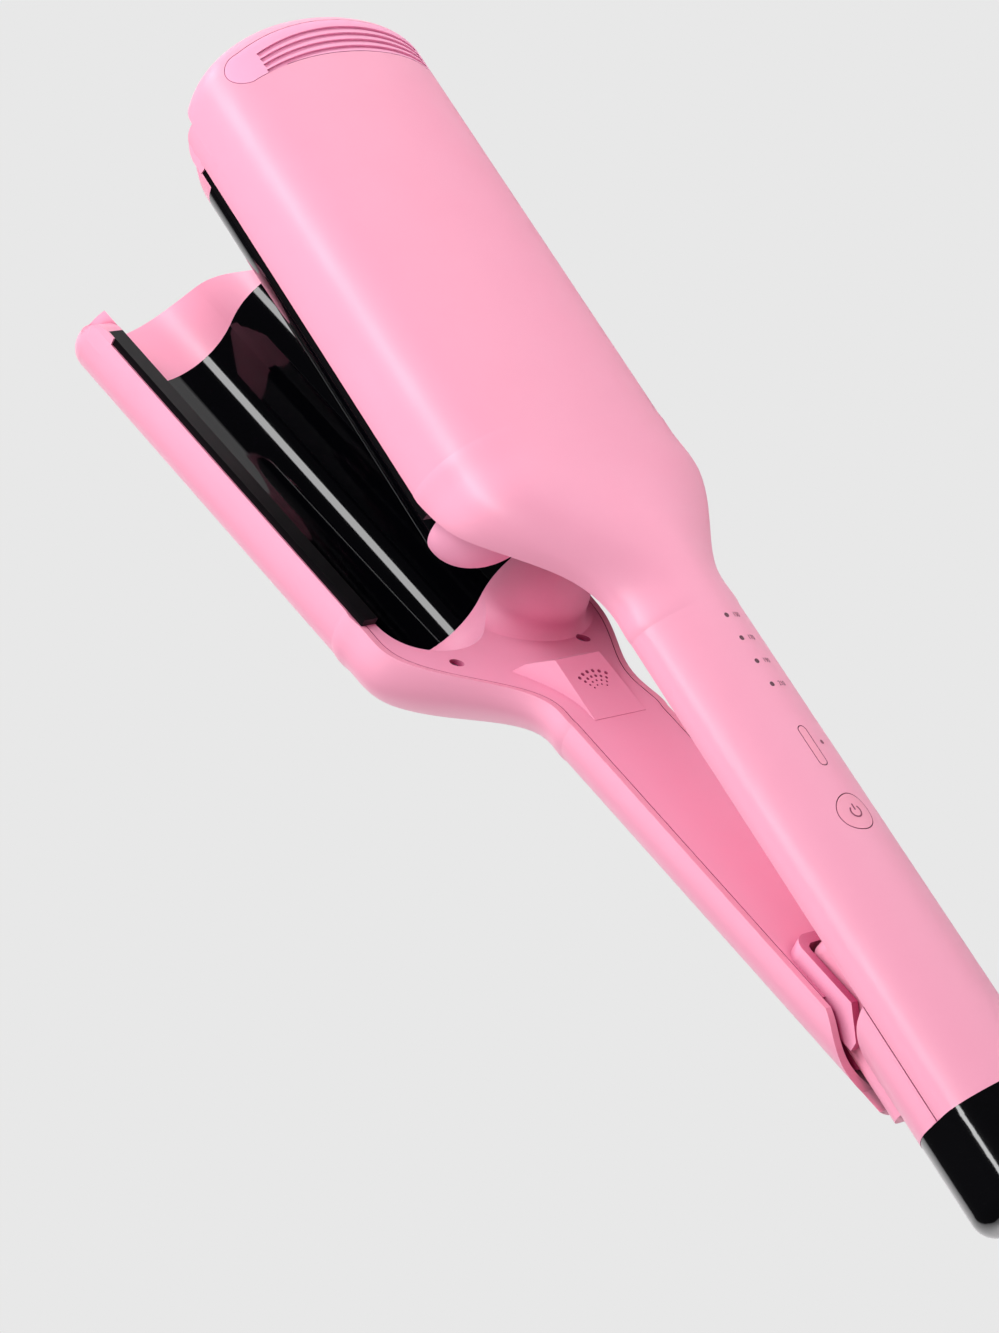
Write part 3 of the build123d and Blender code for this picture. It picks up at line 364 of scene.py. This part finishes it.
# The number is an outline of flat letters: its x runs across the handle, away from the lamp, and its y
# runs along the handle, centred on the lamp.
def printNumber(text, lampAlong, look):
    curve = bpy.data.curves.new("number" + text, "FONT")
    curve.body = text
    curve.size = look["size"]
    flat = bpy.data.objects.new("number" + text, curve).to_mesh()
    spots = np.empty(len(flat.vertices) * 3)
    flat.vertices.foreach_get("co", spots)
    x, y, _ = spots.reshape(-1, 3).T
    faces = [list(face.vertices) for face in flat.polygons]
    printMark("lamp_number_" + text, lampAlong + y - look["middle"] * look["size"], look["edge"] - x,
              faces, "main_arm")


for turn, text in enumerate(lampNumbers["texts"]):
    printNumber(text, lampNumbers["first"] - turn * lampNumbers["pitch"], lampNumbers)

# small dot beside the long button
modeDot = {"along": 107.7, "across": -4.25, "radius": 0.55, "steps": 64}


# The dot is one face: a circle of points, run so that it faces outwards.
def printDot(look):
    angle = np.arange(look["steps"]) * 2 * np.pi / look["steps"]
    printMark("mode_dot", look["along"] + look["radius"] * np.cos(angle),
              look["across"] + look["radius"] * np.sin(angle), [list(range(look["steps"]))], "main_arm")


printDot(modeDot)

# on and off symbol in the middle of the round button
powerSymbol = {
    "along": 89.3,
    "radius": 1.45,
    "halfLine": 0.17,
    "gap": 0.75,  # radians on each side of the bar
    "bar": (0.3, 1.9),
    "ringSteps": 64,
    "barSteps": 8,
}


# An open ring, one row of points inside its line and one outside, and a straight bar through its gap.
def printPower(look):
    angle = np.linspace(look["gap"], 2 * np.pi - look["gap"], look["ringSteps"] + 1)
    rows = [look["radius"] - look["halfLine"], look["radius"] + look["halfLine"]]
    printRibbon("power_ring", [look["along"] + row * np.cos(angle) for row in rows],
                [-row * np.sin(angle) for row in rows], "power_button")
    bar = look["along"] + np.linspace(*look["bar"], look["barSteps"] + 1)
    edge = np.full(len(bar), look["halfLine"])
    printRibbon("power_bar", [bar, bar], [-edge, edge], "power_button")


printPower(powerSymbol)
print("marks printed")


# studio, in metres and watts: a pale floor, a long narrow soft box as key, two weak ones and an even sky
studio = {
    "floorColour": "E8E8E8",
    "floorReach": 6.0,
    "aim": (0.08, 0.02, 0.04),  # the jaws, which every soft box faces
    "skyColour": "FDFAFF",
    "skyStrength": 0.35,  # what lights the surfaces
    "skyShine": 0.03,  # what shows in glossy surfaces
    "keyWay": (0.60, -0.39, 0.70),
    "keyAlong": (0.98, 0.20, 0.0),
    "keyAway": 1.25,
    "keySize": (2.6, 0.22),
    "keyPower": 16.5,
    "fillPlace": (0.42, -0.62, 0.40),
    "fillSize": (0.5, 0.5),
    "fillPower": 1.0,
    "topPlace": (0.12, 0.40, 0.85),
    "topSize": (0.7, 0.6),
    "topPower": 4.0,
}


def makeFloor(look):
    reach = look["floorReach"]
    mesh = bpy.data.meshes.new("studioFloor")
    mesh.from_pydata([(-reach, -reach, 0), (reach, -reach, 0), (reach, reach, 0), (-reach, reach, 0)],
                     [], [(0, 1, 2, 3)])
    floor = bpy.data.objects.new("studioFloor", mesh)
    bpy.context.scene.collection.objects.link(floor)
    material, tree = startMaterial("paleStudioFloor")
    colour = toLinear(look["floorColour"])
    paper = addNode(tree, "ShaderNodeBsdfDiffuse", {"Color": colour})
    glow = addNode(tree, "ShaderNodeEmission", {"Color": colour, "Strength": 1.0})
    ray = addNode(tree, "ShaderNodeLightPath")
    both = addNode(tree, "ShaderNodeMixShader", {},
                   {0: ray.outputs["Is Camera Ray"], 1: paper.outputs[0], 2: glow.outputs[0]})
    addNode(tree, "ShaderNodeOutputMaterial", {}, {"Surface": both.outputs[0]})
    mesh.materials.append(material)


# a soft box stands at its place, faces the aim, and its long side runs as near as it can to along
def makeSoftBox(name, place, aim, along, size, power):
    data = bpy.data.lights.new(name, "AREA")
    data.shape = "RECTANGLE"
    data.size, data.size_y = size
    data.energy = power
    obj = bpy.data.objects.new(name, data)
    back = (Vector(place) - Vector(aim)).normalized()
    side = (Vector(along) - back * back.dot(Vector(along))).normalized()
    turn = Matrix((side, back.cross(side), back)).transposed().to_4x4()
    obj.matrix_world = Matrix.Translation(place) @ turn
    bpy.context.scene.collection.objects.link(obj)
    return obj


def makeSky(look):
    sky = bpy.data.worlds.new("studioSky")
    bpy.context.scene.world = sky
    sky.use_nodes = True
    sky.node_tree.nodes.clear()
    ray = addNode(sky.node_tree, "ShaderNodeLightPath")
    power = addNode(sky.node_tree, "ShaderNodeMapRange",
                    {"To Min": look["skyStrength"], "To Max": look["skyShine"]},
                    {"Value": ray.outputs["Is Glossy Ray"]})
    light = addNode(sky.node_tree, "ShaderNodeBackground", {"Color": toLinear(look["skyColour"])},
                    {"Strength": power.outputs[0]})
    addNode(sky.node_tree, "ShaderNodeOutputWorld", {}, {"Surface": light.outputs[0]})


makeFloor(studio)
makeSky(studio)
keyPlace = Vector(studio["aim"]) + Vector(studio["keyWay"]).normalized() * studio["keyAway"]
makeSoftBox("keyBox", keyPlace, studio["aim"], studio["keyAlong"], studio["keySize"], studio["keyPower"])
for name in ("fill", "top"):
    weakBox = makeSoftBox(name + "Box", studio[name + "Place"], studio["aim"], (1, 0, 0),
                          studio[name + "Size"], studio[name + "Power"])
    weakBox.visible_glossy = False  # it lights the surfaces and shows in none of them
bpy.context.scene.view_settings.view_transform = "Standard"
print("studio lit")
